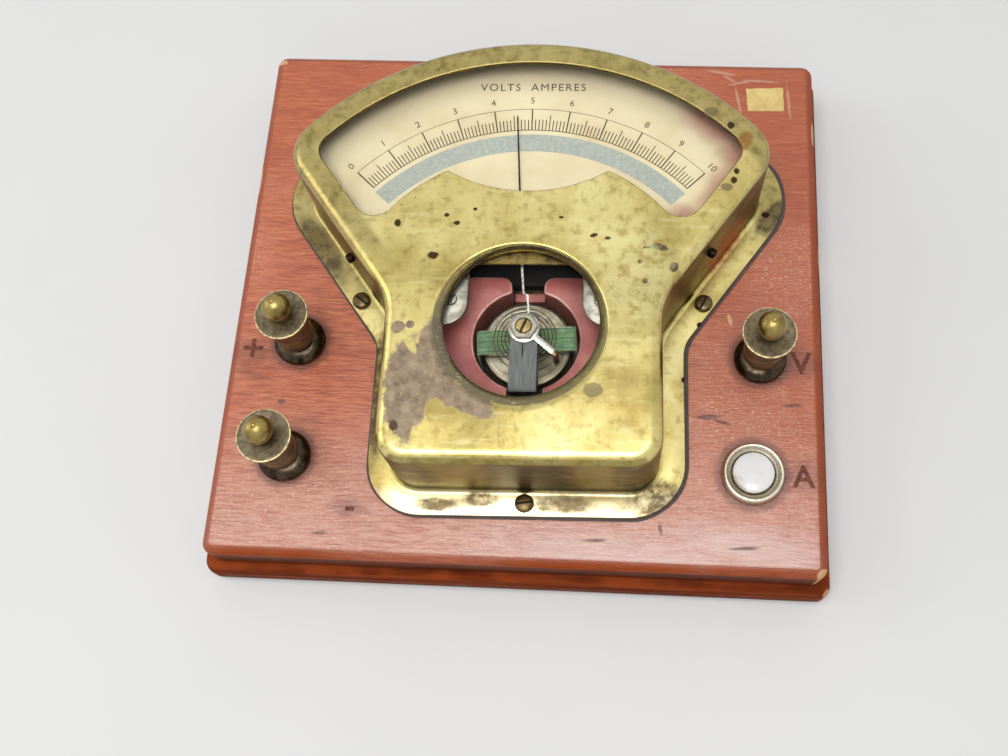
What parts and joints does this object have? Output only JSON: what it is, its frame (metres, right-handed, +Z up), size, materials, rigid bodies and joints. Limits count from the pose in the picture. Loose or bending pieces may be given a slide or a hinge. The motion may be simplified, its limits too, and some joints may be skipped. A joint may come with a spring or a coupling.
{
  "type": "volt-ammeter",
  "caption": "Moving-coil bench volt-ammeter: brass cover with scale window and round movement opening on a wooden base with binding posts and a push button.",
  "frame": {"origin": "centre of the footprint, on the surface that the base stands on", "axes": "+Z up, -Y towards the reader, +X to the reader's right"},
  "size_m": [0.1844, 0.1746, 0.056],
  "materials": {
    "red_wood": "worn red-brown polish",
    "plinth_wood": "worn red-brown polish",
    "black_board": "dull black",
    "felt": "matt",
    "cover_brass": "worn lacquer over polished brass",
    "inner_brass": "plain brass",
    "post_brass": "darkened brass with bright edges",
    "dark_brass": "dark oxidised brass",
    "clear_glass": "clear",
    "cork": "matt packing",
    "grey_metal": "dull grey",
    "cream_card": "matt card",
    "red_enamel": "dark red enamel",
    "turned_iron": "turned",
    "former_metal": "plain",
    "green_silk": "silk-wound wire",
    "bright_steel": "bright",
    "pointer_metal": "bright root and dark blade",
    "spring_bronze": "spring bronze",
    "black_bar": "dark grey",
    "plated_ring": "worn nickel plate",
    "white_button": "gloss",
    "fibre": "matt fibre",
    "spool_wood": "plain",
    "resistor_silk": "silk-wound wire"
  },
  "bodies": {
    "base": {"base_board": "red_wood", "base_plinth": "plinth_wood", "bottom_plate": "black_board", "shunt_strip": "grey_metal", "resistor_spool": "spool_wood", "resistor_winding": "resistor_silk", "cover_gasket": "felt", "brass_cover": "cover_brass", "cover_screw_1": "cover_brass", "cover_screw_2": "cover_brass", "cover_screw_3": "cover_brass", "side_screw_1": "dark_brass", "side_screw_2": "dark_brass", "dial_glass": "clear_glass", "movement_glass": "clear_glass", "glass_strap": "inner_brass", "glass_packing": "cork", "movement_glass_clip": "inner_brass", "scale_plate": "grey_metal", "scale_card": "cream_card", "scale_screw_1": "bright_steel", "scale_screw_2": "bright_steel", "inner_scale_pillar_1": "inner_brass", "inner_scale_pillar_2": "inner_brass", "outer_scale_pillar_1": "inner_brass", "outer_scale_pillar_2": "inner_brass", "movement_base_plate": "inner_brass", "magnet": "red_enamel", "pole_spacer": "red_enamel", "iron_core": "turned_iron", "core_bracket": "inner_brass", "bridge": "black_bar", "bridge_screw": "bright_steel", "jewel_screw": "inner_brass", "lower_jewel_screw": "inner_brass", "bridge_nut": "bright_steel", "lower_spring_anchor": "inner_brass", "upper_hairspring": "spring_bronze", "lower_hairspring": "spring_bronze", "post_foot_1": "dark_brass", "post_foot_2": "dark_brass", "post_foot_3": "dark_brass", "button_ring": "plated_ring", "button_spring": "bright_steel", "contact_leaf": "spring_bronze", "contact_block": "fibre"},
    "coil": {"coil_former": "former_metal", "coil_winding": "green_silk", "upper_staff": "bright_steel", "lower_staff": "bright_steel", "pointer": "pointer_metal", "balance_weight": "inner_brass"},
    "lever": {"zero_lever": "bright_steel"},
    "button": {"button_cap": "white_button"},
    "washer_1": {"post_washer_1": "dark_brass"},
    "nut_1": {"post_nut_1": "post_brass"},
    "washer_2": {"post_washer_2": "dark_brass"},
    "nut_2": {"post_nut_2": "post_brass"},
    "washer_3": {"post_washer_3": "dark_brass"},
    "nut_3": {"post_nut_3": "post_brass"}
  },
  "joints": [
    {"name": "pointer_swing", "type": "hinge", "parent": "base", "child": "coil", "pos_m": [0.00221, -0.02212, 0.044], "axis": [0, 0, 1], "range_deg": [-51.5, 44.5], "stiffness_Nm_per_rad": 0.00005},
    {"name": "zero_adjust", "type": "hinge", "parent": "base", "child": "lever", "pos_m": [0.00221, -0.02212, 0.0486], "axis": [0, 0, 1], "range_deg": [-12, 12]},
    {"name": "button_press", "type": "slide", "parent": "base", "child": "button", "axis": [0, 0, -1], "range_m": [0, 0.0022], "stiffness_N_per_m": 400, "deforming": ["button_spring"]},
    {"name": "post_1_rise", "type": "slide", "parent": "base", "child": "washer_1", "axis": [0, 0, 1], "range_m": [0, 0.0021]},
    {"name": "post_1_spin", "type": "hinge", "parent": "washer_1", "child": "nut_1", "pos_m": [-0.0676, -0.019, 0.036], "axis": [0, 0, 1], "range_deg": [0, 1080]},
    {"name": "post_2_rise", "type": "slide", "parent": "base", "child": "washer_2", "axis": [0, 0, 1], "range_m": [0, 0.0021]},
    {"name": "post_2_spin", "type": "hinge", "parent": "washer_2", "child": "nut_2", "pos_m": [-0.0676, -0.0549, 0.036], "axis": [0, 0, 1], "range_deg": [0, 1080]},
    {"name": "post_3_rise", "type": "slide", "parent": "base", "child": "washer_3", "axis": [0, 0, 1], "range_m": [0, 0.0021]},
    {"name": "post_3_spin", "type": "hinge", "parent": "washer_3", "child": "nut_3", "pos_m": [0.0704, -0.0201, 0.036], "axis": [0, 0, 1], "range_deg": [0, 1080]}
  ],
  "couplings": [
    {"joint": "post_1_spin", "follows": "post_1_rise", "rad_per_m": 8975.9},
    {"joint": "post_2_spin", "follows": "post_2_rise", "rad_per_m": 8975.9},
    {"joint": "post_3_spin", "follows": "post_3_rise", "rad_per_m": 8975.9}
  ]
}
